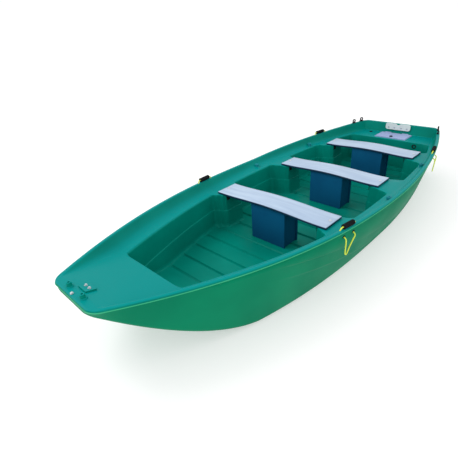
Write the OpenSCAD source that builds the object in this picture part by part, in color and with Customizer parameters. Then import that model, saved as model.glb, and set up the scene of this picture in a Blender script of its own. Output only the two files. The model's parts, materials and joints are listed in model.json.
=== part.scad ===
// Flat-bottomed, square-sterned fishing boat with a twin-skin plastic hull.
// Frame: +X towards the bow, +Y to port, +Z up.  The origin is amidships on the
// centreline at the underside of the keel skids.  All sizes are in millimetres.

/* [Hull] */
// Overall length, bow tip to the top of the transom
hull_l = 3910; // [3300:10:4700]
// Greatest width over the gunwales
beam = 1428; // [1190:2:1720]
// Width of the gunwales at the blunt bow
bow_w = 394; // [330:2:470]
// Width of the gunwales at the transom
transom_w = 822; // [690:2:980]
// Height of the gunwale at its lowest point
side_h = 422; // [400:2:500]
// Extra gunwale height at the bow
bow_lift = 92; // [60:2:110]
// Extra gunwale height at the transom
stern_lift = 42; // [20:2:60]
// Distance of the widest station aft of amidships
widest_back = 276; // [200:2:340]
// Side flare amidships, gunwale to chine
flare = 112; // [90:2:130]
// Length of bottom that sweeps up to the bow
entry_l = 855; // [700:5:900]
// Wall of the outer hull moulding
hull_wall = 7; // [5:0.5:9]
// Wall of the inner liner moulding
liner_wall = 6; // [5:0.5:8]
// Thickness of the keel skids
skid_t = 14; // [10:1:18]
// Rake of the transom, top behind bottom
rake = 70; // [40:2:90]

/* [Cockpit] */
// Height of the cockpit floor
floor_h = 65; // [60:1:78]
// Height of the side ledges and the stern deck
ledge_h = 358; // [340:1:370]
// Length of the foredeck, bow tip to bulkhead
foredeck_l = 460; // [380:5:550]
// Length of the stern deck, transom top to bulkhead
sterndeck_l = 290; // [270:5:340]
// Width of the sloping coaming and ledge amidships
ledge_w = 135; // [115:1:150]
// Height of the step that runs along the cockpit wall
wall_step_h = 215; // [180:5:240]
// Depth of the flange that caps the hull edge
flange_h = 14; // [10:1:18]

/* [Benches] */
// Width of a bench board, fore and aft
board_w = 210; // [180:5:250]
// Thickness of a bench board
board_t = 20; // [15:1:25]
// Rise of a bench board in its middle
board_crown = 14; // [8:1:18]
// Gunwale to board end, fore bench
inset_fore = 180; // [165:1:215]
// Gunwale to board end, middle bench
inset_middle = 228; // [200:1:270]
// Gunwale to board end, aft bench
inset_aft = 154; // [150:1:180]
// Distance that a moulded pillar reaches inboard of its board's end
pillar_reach = 76; // [60:1:90]
// Width of a pedestal box across the boat
box_w = 320; // [270:5:380]
// Depth of a pedestal box fore and aft
box_d = 176; // [150:2:205]
// Thickness of the pedestal panels
panel_t = 15; // [10:1:18]

/* [Fittings] */
// Length of a carrying grip
grip_l = 105; // [90:1:112]
// Outer diameter of a carrying grip
grip_d = 34; // [28:1:40]
// Diameter of the handle rope
rope_d = 9; // [7:0.5:10]
// Bore of a rowlock socket
rowlock_bore = 13; // [10:0.5:16]
// Hole in a quarter eye
eye_bore = 22; // [18:0.5:26]
// Width of the motor pad
pad_w = 270; // [225:5:325]
// Width of the hatch frame across the boat
hatch_w = 336; // [280:2:400]
// Length of the hatch frame fore and aft
hatch_l = 200; // [170:2:210]
// Bore of the drain
drain_bore = 26; // [22:1:31]

/* [Hidden] */

// Colours
hull_green = "#0a8f6c";
navy = "#143a66";
pale = "#b9cbe2";
black = "#16181a";
steel = "#c9ccd0";
rope_yellow = "#d6e83a";
white = "#eceef0";
foam_cream = "#e8dfb8";

// Hull ends and driving stations
bow_x = hull_l / 2;
stern_x = -hull_l / 2;
widest_x = -widest_back;
rise_x = bow_x - entry_l;
fore_bulkhead_x = bow_x - foredeck_l;
stern_bulkhead_x = stern_x + sterndeck_l;
cockpit_l = fore_bulkhead_x - stern_bulkhead_x;

// Plan and sheer of the gunwale
bow_r = 45;              // plan radius of the bow corners
stern_r = 70;            // plan radius of the transom corners
bow_fullness = 2.45;     // exponent of the plan curve forward of the widest station
stern_fullness = 1.95;   // exponent of the plan curve aft of it
bow_flare = 20;
stern_flare = 52;
tip_drop = 40;           // gunwale to chine at the bow tip
chine_r = 24;
gap = 0.3;               // clearance between pieces that only lie on each other

function t_fore(x) = (x - widest_x) / (bow_x - widest_x);
function t_aft(x) = (widest_x - x) / (widest_x - stern_x);
function clamp01(u) = min(1, max(0, u));
function smooth(u) = let (c = clamp01(u)) c * c * (3 - 2 * c);
function mix(a, b, u) = a + (b - a) * u;
function corner(d, r) = d < r ? r - sqrt(max(0, r * r - (r - d) * (r - d))) : 0;

function rim_y(x) =
  beam / 2
  - (x > widest_x ? (beam - bow_w) / 2 * pow(t_fore(x), bow_fullness)
                  : (beam - transom_w) / 2 * pow(t_aft(x), stern_fullness))
  - corner(bow_x - x, bow_r) - corner(x - stern_x, stern_r);
function rim_z(x) =
  side_h + (x > widest_x ? bow_lift * pow(t_fore(x), 1.4) : stern_lift * pow(t_aft(x), 1.2));
function flare_at(x) =
  x > widest_x ? mix(flare, bow_flare, pow(t_fore(x), 1.5))
               : mix(flare, stern_flare, pow(t_aft(x), 3));
function chine_y(x) = rim_y(x) - flare_at(x);
bow_keel_rise = side_h + bow_lift - tip_drop - skid_t;
function chine_z(x) =
  skid_t + (x > rise_x ? bow_keel_rise * pow((x - rise_x) / entry_l, 1.6) : 0);
function bilge(x) = min(chine_r, 0.4 * (rim_z(x) - flange_h - chine_z(x)));

// The side panel between chine and flange, and the two knuckles moulded in it.
// A knuckle's height is a share of the panel, and it dies out towards the bow.
function side_y(x, k) = mix(chine_y(x), rim_y(x), k);
function side_z(x, k) = mix(chine_z(x) + bilge(x), rim_z(x) - flange_h, k);
function side_y_at(x, z) = let (z0 = side_z(x, 0)) side_y(x, clamp01((z - z0) / (side_z(x, 1) - z0)));
function knuckle(x, base, gain) = min(0.9, max(0.03, base + gain * x / 1000));
knuckle_t = 9;
function knuckle_depth(x) = knuckle_t * smooth((x + 740) / 500) * (1 - smooth((x - 700) / 400));

// Half section of the outer hull, keel to flange, as [y, z]; w insets the inner face
function hull_half(x, w) = let (
  cy = chine_y(x), cz = chine_z(x), r = bilge(x),
  low = knuckle(x, 0.08, 0.55), high = max(low + 0.06, knuckle(x, 0.38, 0.5)),
  d = knuckle_depth(x)
) [
  [0, cz + w],
  [cy - r - w, cz + w],
  [cy - 0.3 * r - w, cz + 0.3 * r + 0.7 * w],
  [cy - w, cz + r],
  [side_y(x, low) - 0.4 * d - w, side_z(x, low - 0.02)],
  [side_y(x, low + 0.02) - w, side_z(x, low + 0.02)],
  [side_y(x, high - 0.03) - d - w, side_z(x, high - 0.03)],
  [side_y(x, high) - w, side_z(x, high)],
  [rim_y(x) - w, rim_z(x) - flange_h - gap]
];
// The transom leans: a point low on it lies further forward
function rake_x(x, z) =
  rake * (1 - (z - skid_t) / (rim_z(x) - skid_t)) * (1 - smooth((x - stern_x) / 400));
rake_angle = atan(rake / (rim_z(stern_x) - skid_t));
function full(half) = concat(
  [for (k = [len(half) - 1 : -1 : 1]) [-half[k][0], half[k][1]]],
  [for (k = [0 : len(half) - 1]) half[k]]
);

// Faces of a grid of n rows and m points; turned makes them face the other way
function quads(n, m, base, turned) = [
  for (i = [0 : n - 2], k = [0 : m - 2], h = [0, 1]) let (
    a = base + i * m + k, b = a + 1, c = a + m + 1, d = a + m,
    t = h == 0 ? [a, b, c] : [a, c, d]
  ) turned ? [t[2], t[1], t[0]] : t
];
function flat(l) = [for (a = l) for (b = a) b];
function strip(a, b, s) = [[a, b, b + s], [a, b + s, a + s]];

// A sheet with thickness: the upper grid, the lower grid and an edge all round
module sheet(upper, lower) {
  n = len(upper);
  m = len(upper[0]);
  s = n * m;
  last = (n - 1) * m;
  edges = concat(
    flat([for (k = [0 : m - 2]) strip(k + 1, k, s)]),
    flat([for (k = [0 : m - 2]) strip(last + k, last + k + 1, s)]),
    flat([for (i = [0 : n - 2]) strip(i * m, (i + 1) * m, s)]),
    flat([for (i = [0 : n - 2]) strip((i + 2) * m - 1, (i + 1) * m - 1, s)])
  );
  polyhedron(
    points = concat(flat(upper), flat(lower)),
    faces = concat(quads(n, m, 0, false), quads(n, m, s, true), edges),
    convexity = 10
  );
}

// A solid through rings of points, closed at both ends by a fan
module rings_solid(rings) {
  n = len(rings);
  m = len(rings[0]);
  last = (n - 1) * m;
  polyhedron(
    points = flat(rings),
    faces = concat(
      flat([for (i = [0 : n - 2], k = [0 : m - 1]) let (
        a = i * m + k, b = i * m + (k + 1) % m
      ) [[a, b, b + m], [a, b + m, a + m]]]),
      [for (k = [1 : m - 2]) [0, k + 1, k]],
      [for (k = [1 : m - 2]) [last, last + k, last + k + 1]]
    ),
    convexity = 10
  );
}

function even(a, b, n) = [for (i = [0 : n]) a + (b - a) * i / n];
function between(a, b, n) = [for (i = [1 : n]) a + (b - a) * i / (n + 1)];

// Benches stand at fixed shares of the cockpit's length from its aft bulkhead
bench_share = [0.637, 0.374, 0.129];
bench_inset = [inset_fore, inset_middle, inset_aft];
function bench_x(b) = stern_bulkhead_x + bench_share[b] * cockpit_l;
function bench_half(b) = rim_y(bench_x(b)) - bench_inset[b];
function pillar_y(b) = bench_half(b) - pillar_reach;

// Interior levels.  The ledge climbs forward of the fore bench to the foredeck,
// and the foredeck climbs on to the bow tip.
fore_ledge_lift = 46;
deck_front = 50;         // distance behind the tip where the deck meets the gunwale
ledge_start_x = bench_x(0) + board_w / 2 + 25;
function floor_z(x) = chine_z(x) + floor_h - skid_t;
function ledge_z(x) = ledge_h
  + fore_ledge_lift * pow(clamp01((x - ledge_start_x) / (fore_bulkhead_x - ledge_start_x)), 1.3);
function deck_u(x) = clamp01((x - fore_bulkhead_x) / (foredeck_l - deck_front));
function deck_z(x) = x < 0 ? ledge_h : mix(ledge_h + fore_ledge_lift, rim_z(x) - 2, deck_u(x));
deck_pitch = atan((deck_z(bow_x - deck_front) - deck_z(fore_bulkhead_x)) / (foredeck_l - deck_front));
function step_z(x) = max(wall_step_h, floor_z(x) + 40);

// Distance from the gunwale's outer edge to the ledge's inner edge
fore_widening = 25;
aft_narrowing = 55;
tip_coaming = 52;
function coaming_w(x) =
  x > fore_bulkhead_x ? mix(ledge_w + fore_widening, tip_coaming, deck_u(x))
  : x > 0 ? mix(ledge_w, ledge_w + fore_widening, smooth(x / fore_bulkhead_x * 1.5 - 0.3))
  : mix(ledge_w, ledge_w - aft_narrowing, smooth(x / stern_bulkhead_x * 1.25 - 0.2));

// The wall swells inboard into a pillar under each end of a board
pillar_flat = 85;        // half length of a pillar's inner face
pillar_foot = 170;       // half length of a pillar where it leaves the wall
function wall_y(x) = rim_y(x) - coaming_w(x);
function pillar(x) = max([for (b = [0 : 2]) let (d = abs(x - bench_x(b)))
  d < pillar_foot
    ? (wall_y(x) - pillar_y(b)) * (1 - smooth((d - pillar_flat) / (pillar_foot - pillar_flat)))
    : 0]);
function ledge_y(x) = wall_y(x) - pillar(x);

// Half section of the liner as [y, z] for the upper face (w = 0) or the lower one
wall_lean = 14;
wall_top_in = 3;         // the wall's upper part lies this far inboard of the ledge's edge
function liner_inner(x, w, decked) =
  decked ? [for (u = [0, 0.2, 0.4, 0.55, 0.7, 0.82, 0.93]) [u * ledge_y(x), deck_z(x) - w]]
  : let (y = ledge_y(x) - wall_lean, f = floor_z(x)) [
    [0, f - w], [y - 20, f - w], [y - 5 + w / 2, f + 7 - 0.8 * w], [y + w, f + 24 - 0.4 * w],
    [y + 3 + w, step_z(x)], [y + wall_lean - wall_top_in + w, step_z(x) + 5],
    [y + wall_lean - wall_top_in + w, ledge_z(x) - 11]
  ];
function liner_outer(x, w, decked) = let (
  lz = decked ? deck_z(x) : ledge_z(x), rz = rim_z(x), ry = rim_y(x), a = wall_y(x) + 7, b = ry - 27
) [
  [ledge_y(x) + 7 + (decked ? 0 : w / 2), lz - w],
  [mix(a, b, 0.34), lz - w],
  [mix(a, b, 0.66), lz + 0.24 * (rz - lz) - w],
  [mix(a, b, 0.86), lz + 0.62 * (rz - lz) - w],
  [b + 0.2 * w, rz - 2 - w],
  [ry - 14 - 0.6 * w, rz - w],
  [ry - 3 - w, rz - 3 - w],
  [ry - (w > 0 ? hull_wall : 0), rz - flange_h]
];
// Across the transom and the bow tip the gunwale runs from side to side
lip = [[0, 1.5 - flange_h, 1], [2, -3, 1], [12, 0, 0.4], [28, -2, -0.3]];
function lipped(half, x, drop) = [for (k = [0 : len(half) - 1]) let (p = half[k], top = rim_z(x) + drop)
  [p[0], k < len(half) - 3 ? top : min(p[1], top)]];
function lip_row(end, dir, l, w) = let (
  x = end + dir * l[0], s = l[1] - (l[0] == 0 ? 0 : w),
  half = lipped(concat(liner_inner(x, w, true), liner_outer(x, w, true)), x, s)
) [for (p = full(half)) [x + dir * l[2] * (w > 0 ? hull_wall : 0), p[0], p[1]]];
function liner_row(st, w) = [
  for (p = full(concat(liner_inner(st[0], w, st[1]), liner_outer(st[0], w, st[1]))))
    [st[0] + st[2] * w, p[0], p[1]]];

// Stations as [x, decked, which way the lower face is shifted under a steep wall]
transom_foot = 50;
bulkhead_lean = 15;
function pillar_stations(b) = [for (d = [-170, -127, -85, 0, 85, 127, 170]) [bench_x(b) + d, false, 0]];
function open_stations(a, b, n) = [for (x = between(a, b, n)) [x, false, 0]];
liner_stations = concat(
  [[stern_x + transom_foot, true, -1], [stern_x + 90, true, 0], [stern_x + 180, true, 0]],
  [[stern_bulkhead_x, true, -1], [stern_bulkhead_x + bulkhead_lean, false, -1]],
  open_stations(stern_bulkhead_x + bulkhead_lean, bench_x(2) - pillar_foot, 1),
  pillar_stations(2),
  open_stations(bench_x(2) + pillar_foot, bench_x(1) - pillar_foot, 3),
  pillar_stations(1),
  open_stations(bench_x(1) + pillar_foot, bench_x(0) - pillar_foot, 3),
  pillar_stations(0),
  open_stations(bench_x(0) + pillar_foot, rise_x, 4),
  [[rise_x, false, 0]],
  open_stations(rise_x, fore_bulkhead_x - bulkhead_lean, 2),
  [[fore_bulkhead_x - bulkhead_lean, false, 1], [fore_bulkhead_x, true, 1]],
  [for (x = between(fore_bulkhead_x, bow_x - deck_front, 3)) [x, true, 0]],
  [[bow_x - deck_front, true, 0]]
);
function liner_grid(w) = concat(
  [for (l = lip) lip_row(stern_x, 1, l, w)],
  [for (s = liner_stations) liner_row(s, w)],
  [for (i = [3 : -1 : 0]) lip_row(bow_x, -1, lip[i], w)]
);

hull_stations = concat(
  [for (d = [0, 6, 20, 42, 70]) stern_x + d],
  even(stern_x + 160, widest_x, 9),
  even(widest_x + 140, rise_x, 9),
  even(rise_x + 90, bow_x - 140, 7),
  [for (d = [90, 45, 26, 12, 4, 0]) bow_x - d]
);
function hull_rings(w) = [for (x = hull_stations) let (
  // the inner face is drawn in by the wall at each end
  shift = w * (1 - 2 * (x - stern_x) / hull_l)
) [for (p = full(hull_half(x, w))) [x + shift + rake_x(x, p[1]), p[0], p[1]]]];

// The outer moulding is a tub: a sheet along the boat, closed by a wall at each end
module hull_tub() {
  outer = hull_rings(0);
  inner = hull_rings(hull_wall);
  n = len(outer);
  m = len(outer[0]);
  s = n * m;
  half = (m - 1) / 2;
  last = (n - 1) * m;
  function turn(t, turned) = turned ? [t[2], t[1], t[0]] : t;
  function cap(o, turned) = [for (t = concat(
    flat([for (k = [0 : half - 3]) [[k, m - 2 - k, m - 1 - k], [k, k + 1, m - 2 - k]]]),
    [for (t = [[-2, 0, 2], [-2, -1, 0], [0, 1, 2]]) [half + t[0], half + t[1], half + t[2]]]
  )) turn([o + t[0], o + t[1], o + t[2]], turned)];
  edges = concat(
    flat([for (i = [0 : n - 2]) strip((i + 1) * m, i * m, s)]),
    flat([for (i = [0 : n - 2]) strip((i + 1) * m - 1, (i + 2) * m - 1, s)]),
    strip(0, m - 1, s),
    strip(last + m - 1, last, s)
  );
  polyhedron(
    points = concat(flat(outer), flat(inner)),
    faces = concat(
      quads(n, m, 0, true), quads(n, m, s, false),
      cap(0, false), cap(s, true), cap(last, true), cap(last + s, false),
      edges
    ),
    convexity = 10
  );
}

// Places of the fittings
drain_z = skid_t + 34;
drain_flange_t = 5;
drain_hole = drain_bore + 6;
// A frame on the raked transom: x runs up the transom and z out of the boat
module on_transom(z) {
  translate([stern_x + rake * (1 - (z - skid_t) / (rim_z(stern_x) - skid_t)), 0, z])
    rotate([0, 90 + rake_angle, 180]) rotate([0, 0, 180]) children();
}
hatch_aft_x = stern_x + 58;
hatch_x = hatch_aft_x + hatch_l / 2;
hatch_rim = 12;
hatch_cut_l = hatch_l - 2 * hatch_rim;
hatch_cut_w = hatch_w - 2 * hatch_rim;
hatch_flange_t = 4;
hatch_collar_h = 20;     // collar that drops through the deck, its top 1 above the deck
cap_y = 283;
cap_z = 320;
cap_bore = 26;
cap_x = stern_bulkhead_x + bulkhead_lean * (ledge_h - cap_z) / (ledge_h - floor_h);

module hull_shell() {
  color(hull_green) difference() {
    hull_tub();
    on_transom(drain_z) cylinder(h = 60, d = drain_hole, center = true, $fn = 48);
  }
}
module cockpit_liner() {
  color(hull_green) difference() {
    sheet(liner_grid(0), liner_grid(liner_wall));
    translate([hatch_x, 0, ledge_h]) cube([hatch_cut_l, hatch_cut_w, 40], center = true);
    translate([cap_x, cap_y, cap_z]) rotate([0, 90, 0])
      cylinder(h = 60, d = cap_bore + 8, center = true, $fn = 48);
    for (s = [1, -1], i = [0, 1]) at_rowlock(s, i)
      cylinder(h = 3 * rowlock_l, d = rowlock_d, center = true, $fn = 48);
  }
}

// Foam
foam_gap = 0.6;
groove_room = 10;        // the floor's grooves reach down into this
module floor_foam() {
  z0 = skid_t + hull_wall + foam_gap;
  z1 = floor_h - liner_wall - foam_gap - groove_room;
  color(foam_cream) rings_solid([for (x = even(stern_x + rake + 60, rise_x - 30, 9)) let (y = chine_y(x) - 60)
    [[x, -y, z0], [x, -y, z1], [x, y, z1], [x, y, z0]]]);
}
module side_foam() {
  z0 = floor_h + 90;
  z1 = ledge_h - liner_wall - foam_gap;
  color(foam_cream) rings_solid([for (x = even(stern_bulkhead_x + 150, rise_x - 60, 10)) let (
    y = rim_y(x) - coaming_w(x) + 18, s = hull_wall + knuckle_t + 4
  ) [[x, y, z0], [x, y, z1], [x, side_y_at(x, z1) - s, z1], [x, side_y_at(x, z0) - s, z0]]]);
}
module bow_foam() {
  color(foam_cream) rings_solid([for (x = even(fore_bulkhead_x + 50, bow_x - 180, 5)) let (
    y = ledge_y(x) - 12, z0 = chine_z(x) + hull_wall + 12, z1 = deck_z(x) - liner_wall - 1.5 * foam_gap
  ) [[x, -y, z0], [x, -y, z1], [x, y, z1], [x, y, z0]]]);
}

// Three moulded skids that the boat stands and slides on
skid_w = 56;
skid_y = 330;
module keel_skids() {
  x0 = stern_x + rake + 30;
  x1 = rise_x - 20;
  color(hull_green) for (y = [-skid_y, 0, skid_y])
    translate([0, y + skid_w / 2, 0]) rotate([90, 0, 0]) linear_extrude(skid_w)
      polygon([[x0 + 25, 0], [x1 - 60, 0], [x1, skid_t], [x0, skid_t]]);
}

// Benches.  The board is level over its pillars and rises in between.
function board_under(b, y) = let (u = min(1, abs(y) / pillar_y(b)))
  ledge_h + board_crown * pow(1 - u * u, 2);
function board_line(b, lift, h) = [for (i = [-12 : 12]) let (y = h * i / 12) [y, board_under(b, y) + lift]];
function reversed(l) = [for (i = [len(l) - 1 : -1 : 0]) l[i]];
bolt_d = 8;
bolt_in = 30;            // bolt centre to board end
module along_x(x, l) {
  translate([x, 0, 0]) rotate([90, 0, 90]) linear_extrude(l, center = true) children();
}
module bench_board(b) {
  h = bench_half(b);
  color(pale) difference() {
    along_x(bench_x(b), board_w)
      polygon(concat(
        board_line(b, 0, pillar_y(b)), [[h, ledge_h], [h, ledge_h + board_t]],
        reversed(board_line(b, board_t, pillar_y(b))), [[-h, ledge_h + board_t], [-h, ledge_h]]
      ));
    for (s = [-1, 1]) translate([bench_x(b), s * (h - bolt_in), ledge_h - 1])
      cylinder(h = board_t + 2, d = bolt_d + 2 * gap, $fn = 32);
  }
}
module bench_bolts(b) {
  color(steel) for (s = [-1, 1]) translate([bench_x(b), s * (bench_half(b) - bolt_in), ledge_h + board_t])
    rotate_extrude($fn = 48) polygon([
      [0, -board_t - 22], [bolt_d / 2, -board_t - 22], [bolt_d / 2, 0], [12, 0], [12, 1.6],
      [9, 1.6], [8, 3.6], [5, 5], [0, 5.6]
    ]);
}
bracket_t = 5;
bracket_l = 34;
bracket_h = 46;
module bench_brackets(b) {
  y = pillar_y(b) - wall_top_in;
  color(black) for (s = [-1, 1], e = [-1, 1])
    translate([bench_x(b) + e * (pillar_flat - bracket_l / 2 - 2), 0, 0]) mirror([0, s < 0 ? 1 : 0, 0])
      rotate([90, 0, 90]) linear_extrude(bracket_l, center = true) polygon([
        [y, ledge_h - bracket_h], [y, ledge_h], [y - 40, ledge_h],
        [y - 40, ledge_h - bracket_t], [y - bracket_t - 8, ledge_h - bracket_t],
        [y - bracket_t, ledge_h - bracket_t - 8], [y - bracket_t, ledge_h - bracket_h]
      ]);
}

// Pedestal boxes under the middle of each board
side_t = 12;
side_in = 10;            // recess of the side panels behind the front panel's edges
rail_h = 34;
function panel_top(b, h) = [for (i = [6 : -1 : -6]) let (y = h * i / 6) [y, board_under(b, y) - gap]];
module pedestal_panel(b, e) {
  color(navy) along_x(bench_x(b) + e * (box_d - panel_t) / 2, panel_t)
    polygon(concat([[-box_w / 2, floor_h], [box_w / 2, floor_h]], panel_top(b, box_w / 2)));
}
side_clear = 1;          // side panels end this far under the board
function side_panel_h(b) = board_under(b, box_w / 2) - side_clear - floor_h;
module pedestal_sides(b) {
  l = box_d - 2 * panel_t - 2 * gap;
  color(navy) for (s = [-1, 1]) translate([bench_x(b), s * (box_w / 2 - side_in - side_t / 2), floor_h])
    translate([-l / 2, -side_t / 2, 0]) cube([l, side_t, side_panel_h(b)]);
}
module pedestal_rails(b) {
  l = box_d - 2 * panel_t - 2 * gap;
  t = side_in - gap;
  color(navy) for (s = [-1, 1])
    translate([bench_x(b) - l / 2, s * (box_w / 2 - t / 2) - t / 2, floor_h + side_panel_h(b) - rail_h])
      cube([l, t, rail_h]);
}
screw_r = 4.5;
module pedestal_screws(b) {
  color(steel) for (s = [-1, 1], e = [-1, 1])
    translate([bench_x(b) + e * box_d * 0.28, s * (box_w / 2), floor_h + side_panel_h(b) - rail_h / 2])
      rotate([-90 * s, 0, 0]) rotate_extrude($fn = 32)
        polygon([[0, -16], [1.8, -14], [1.8, 0], [screw_r, 0], [screw_r * 0.8, 1.6], [0, 2.4]]);
}

// Mirrors a port piece to starboard
module on_side(s) {
  mirror([0, s < 0 ? 1 : 0, 0]) children();
}

// Rowlock sockets, ahead of the middle and the aft bench
rowlock_ahead = [275, 240];
rowlock_in = 70;
rowlock_top = 32;
rowlock_l = rowlock_top + liner_wall;
rowlock_d = 2 * rowlock_bore + 8;
function rowlock_x(i) = bench_x(i + 1) + rowlock_ahead[i];
module at_rowlock(s, i) {
  on_side(s) translate([rowlock_x(i), rim_y(rowlock_x(i)) - rowlock_in, ledge_h + rowlock_top]) children();
}
module rowlock_socket(s, i) {
  color("#2b9fae") at_rowlock(s, i) difference() {
    union() {
      translate([0, 0, -rowlock_l]) cylinder(h = rowlock_l, d = rowlock_d, $fn = 64);
      translate([0, 0, -rowlock_top / 3]) cylinder(h = rowlock_top / 5, d = rowlock_d + 8, $fn = 64);
    }
    translate([0, 0, -rowlock_l - 1]) cylinder(h = rowlock_l + 2, d = rowlock_bore, $fn = 64);
  }
}

// Carrying handles: a tube on a loop of rope that passes down through the gunwale
// and hangs in a slack bight outside
handle_shift = [106, 18];
handle_in = 16;
grip_bore = rope_d + 3;
function handle_x(i) = bench_x(2 * i) + handle_shift[i];
function handle_turn(x) = atan((rim_y(x + 50) - rim_y(x - 50)) / 100);
function handle_pitch(x) = atan((rim_z(x + 50) - rim_z(x - 50)) / 100);
module at_handle(s, i) {
  x = handle_x(i);
  on_side(s) translate([x, rim_y(x) - handle_in, rim_z(x) + grip_d / 2 + gap])
    rotate([0, -handle_pitch(x), handle_turn(x)]) children();
}
module handle_grip(s, i) {
  n = 7;
  p = (grip_l - 24) / n;
  color(black) at_handle(s, i) rotate([0, 90, 0]) rotate_extrude($fn = 64) polygon(concat(
    [[grip_bore / 2, -grip_l / 2], [grip_d / 2 - 2, -grip_l / 2], [grip_d / 2, -grip_l / 2 + 2]],
    [for (k = [0 : n - 1], q = [[0, 0.2], [1.2, 0.35], [1.2, 0.65], [0, 0.8]])
      [grip_d / 2 - q[0], -grip_l / 2 + 12 + p * (k + q[1])]],
    [[grip_d / 2, grip_l / 2 - 2], [grip_d / 2 - 2, grip_l / 2], [grip_bore / 2, grip_l / 2]]
  ));
}
// The rope's route from the middle of the grip round to the middle again, with x along
// the gunwale towards the bow, y outboard and z up, all from the grip's centre
rope_route = [
  [2, 0, 0], [30, 0, 0], [60, 0, 0], [76, 0, 0], [88, -1, -4], [96, -3, -13], [100, -5, -26],
  [99, -6, -40], [93, -6, -53], [82, -4, -61], [70, -1, -65], [62, 5, -68], [60, 14, -71],
  [60, 23, -77], [60, 28, -88], [60, 29, -102], [59, 29, -120], [57, 28, -142], [54, 27, -164],
  [50, 26, -182], [43, 25, -194], [33, 25, -199], [23, 25, -194], [14, 25, -181], [4, 26, -162],
  [-10, 27, -140], [-26, 28, -118], [-42, 29, -99], [-54, 29, -87], [-60, 24, -77], [-62, 15, -71],
  [-63, 5, -68], [-70, -1, -65], [-82, -4, -61], [-93, -6, -53], [-99, -6, -40], [-100, -5, -26],
  [-96, -3, -13], [-88, -1, -4], [-76, 0, 0], [-60, 0, 0], [-30, 0, 0], [-2, 0, 0]
];
rope_exit = [61, -66];   // exit hole in the hull side, x and z from the grip's centre
loop_narrow = 0.8;       // the route is this much narrower along the gunwale
rope_path = [for (p = rope_route) [loop_narrow * p[0], p[1], p[2]]];
function unit(v) = v / norm(v);
function tube_ring(path, i, r, n) = let (
  t = unit(path[min(i + 1, len(path) - 1)] - path[max(i - 1, 0)]),
  side = unit(cross(t, abs(t[1]) > 0.9 ? [1, 0, 0] : [0, 1, 0])),
  up = cross(side, t)
) [for (k = [0 : n - 1]) path[i] + r * (cos(360 * k / n) * side + sin(360 * k / n) * up)];
module handle_rope(s, i) {
  color(rope_yellow) at_handle(s, i)
    rings_solid([for (k = [0 : len(rope_path) - 1]) tube_ring(rope_path, k, rope_d / 2, 10)]);
}
bush_d = 22;
module ring(d, bore, h) {
  difference() {
    cylinder(h = h, d = d, $fn = 48);
    translate([0, 0, -1]) cylinder(h = h + 2, d = bore, $fn = 48);
  }
}
module rope_bushes() {
  bore = rope_d + 5;
  color(black) for (s = [-1, 1], i = [0, 1], e = [-1, 1]) {
    x = handle_x(i) + e * loop_narrow * rope_exit[0];
    z = rim_z(handle_x(i)) + grip_d / 2 + rope_exit[1];
    on_side(s) translate([x, side_y_at(x, z) - 2, z])
      rotate([-90 - atan(flare_at(x) / (side_z(x, 1) - side_z(x, 0))), 0, handle_turn(x)])
        ring(bush_d, bore, 6);
  }
}

// Upright eyes on the quarters, two each side
eye_back = [196, 87];
eye_d = 40;
eye_t = 10;
eye_in = 17;
module quarter_eyes(s) {
  color(black) for (i = [0, 1]) {
    x = stern_x + eye_back[i];
    on_side(s) translate([x, rim_y(x) - eye_in, rim_z(x)]) rotate([0, 0, handle_turn(x)]) difference() {
      union() {
        translate([-22, -10, -3]) cube([44, 20, 8]);
        translate([0, 0, eye_d / 2 + 3]) rotate([90, 0, 0]) cylinder(h = eye_t, d = eye_d, center = true, $fn = 64);
        translate([-eye_d / 2 + 3, -eye_t / 2, 0]) cube([eye_d - 6, eye_t, eye_d / 4]);
      }
      translate([0, 0, eye_d / 2 + 3]) rotate([90, 0, 0])
        cylinder(h = eye_t + 2, d = eye_bore, center = true, $fn = 64);
    }
  }
}

// Motor pad: an inner plate that laps over the gunwale, and an outer plate
pad_t = 10;
pad_drop = 66;
pad_top = 4;
pad_dip = 14;
pad_foot_r = 22;         // radius of the pad's lower corners
pad_inner_x = stern_x + transom_foot + 2;
module pad_outline(w, z0, z1) {
  polygon([[-w / 2 + pad_foot_r, z0], [w / 2 - pad_foot_r, z0],
    for (a = [15 : 15 : 90]) [w / 2 - pad_foot_r * (1 - sin(a)), z0 + pad_foot_r * (1 - cos(a))],
    [w / 2, z1 - 10], [w / 2 - 10, z1],
    [26, z1], [8, z1 - pad_dip], [-8, z1 - pad_dip], [-26, z1], [-w / 2 + 10, z1], [-w / 2, z1 - 10],
    for (a = [90 : -15 : 15]) [-w / 2 + pad_foot_r * (1 - sin(a)), z0 + pad_foot_r * (1 - cos(a))]]);
}
module pad_bolt_holes() {
  for (y = pad_bolt_y) translate([pad_inner_x + pad_t + 1, y, pad_bolt_z]) rotate([0, -90, 0])
    cylinder(h = pad_bolt_l + 2, d = bolt_d + 2 * gap, $fn = 32);
}
pad_head_r = 8;
pad_head_h = 4;
module pad_countersinks() {
  for (y = pad_bolt_y) translate([pad_inner_x + pad_t, y, pad_bolt_z]) rotate([0, -90, 0])
    cylinder(h = pad_head_h + 2 * gap, r1 = pad_head_r + 2 * gap, r2 = bolt_d / 2 + gap, $fn = 48);
}
module motor_pad_inner() {
  z1 = rim_z(stern_x) + pad_top;
  color(white) difference() {
    along_x(pad_inner_x + pad_t / 2, pad_t) pad_outline(pad_w, z1 - pad_drop, z1);
    pad_bolt_holes();
    pad_countersinks();
  }
}
pad_bolt_y = [-0.37, -0.14, 0.14, 0.37] * pad_w;
pad_bolt_z = rim_z(stern_x) - 42;
pad_bolt_l = pad_inner_x + pad_t - stern_x - 2;
pad_outer_t = 5;
pad_outer_h = 180;
module motor_pad_outer() {
  color(white) difference() {
    on_transom(rim_z(stern_x) - 30)
      translate([-pad_outer_h, -pad_w / 2, gap]) cube([pad_outer_h, pad_w, pad_outer_t]);
    pad_bolt_holes();
  }
}
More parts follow.
